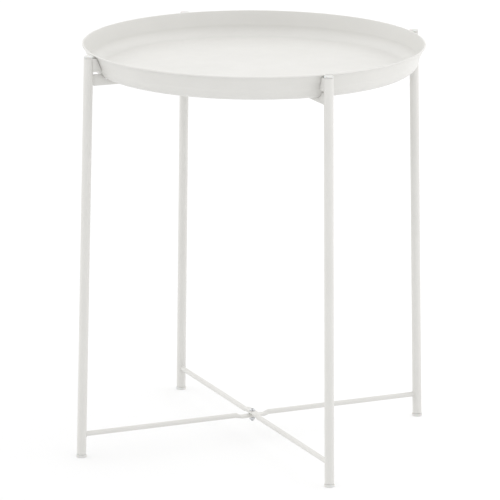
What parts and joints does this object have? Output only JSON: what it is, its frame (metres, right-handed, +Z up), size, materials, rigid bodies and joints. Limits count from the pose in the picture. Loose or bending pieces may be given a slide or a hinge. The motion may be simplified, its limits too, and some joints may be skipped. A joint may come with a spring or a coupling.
{
  "type": "folding tray table",
  "caption": "Round side table: a loose steel tray with a raised wall on a folding frame of splayed tube legs.",
  "frame": {"origin": "on the floor, straight below the pivot axis in the middle of the table", "axes": "+Z up along the pivot axis; the main frame's legs are on +X and -X, the cross frame's on +Y and -Y"},
  "size_m": [0.4938, 0.4938, 0.525],
  "materials": {
    "tray_powder_coat": "warm white powder coat, satin, very fine orange peel",
    "frame_powder_coat": "warm white powder coat, satin, very fine orange peel",
    "white_plastic": "moulded, matt",
    "nylon": "natural nylon, matt",
    "zinc": "bright zinc plate"
  },
  "bodies": {
    "main_frame": {"main_right_leg": "frame_powder_coat", "main_right_cap": "white_plastic", "main_right_foot": "white_plastic", "main_right_guide": "frame_powder_coat", "main_left_leg": "frame_powder_coat", "main_left_cap": "white_plastic", "main_left_foot": "white_plastic", "main_left_guide": "frame_powder_coat", "main_tray_bar": "frame_powder_coat", "main_stretcher_rod": "frame_powder_coat", "upper_pivot_bolt": "zinc", "upper_pivot_spacer": "nylon", "upper_pivot_washer": "zinc", "upper_pivot_nut": "zinc", "lower_pivot_screw": "zinc", "lower_pivot_spacer": "nylon", "lower_pivot_nut": "zinc"},
    "cross_frame": {"cross_back_leg": "frame_powder_coat", "cross_back_cap": "white_plastic", "cross_back_foot": "white_plastic", "cross_back_guide": "frame_powder_coat", "cross_front_leg": "frame_powder_coat", "cross_front_cap": "white_plastic", "cross_front_foot": "white_plastic", "cross_front_guide": "frame_powder_coat", "cross_tray_bar": "frame_powder_coat", "cross_stretcher_rod": "frame_powder_coat"},
    "tray": {"tray": "tray_powder_coat"}
  },
  "joints": [
    {"name": "frame_fold", "type": "hinge", "parent": "main_frame", "child": "cross_frame", "pos_m": [0, 0, 0.0303], "axis": [0, 0, 1], "range_deg": [-62, 62]},
    {"name": "tray_lift", "type": "slide", "parent": "main_frame", "child": "tray", "axis": [0, 0, 1], "range_m": [0, 0.08]}
  ]
}
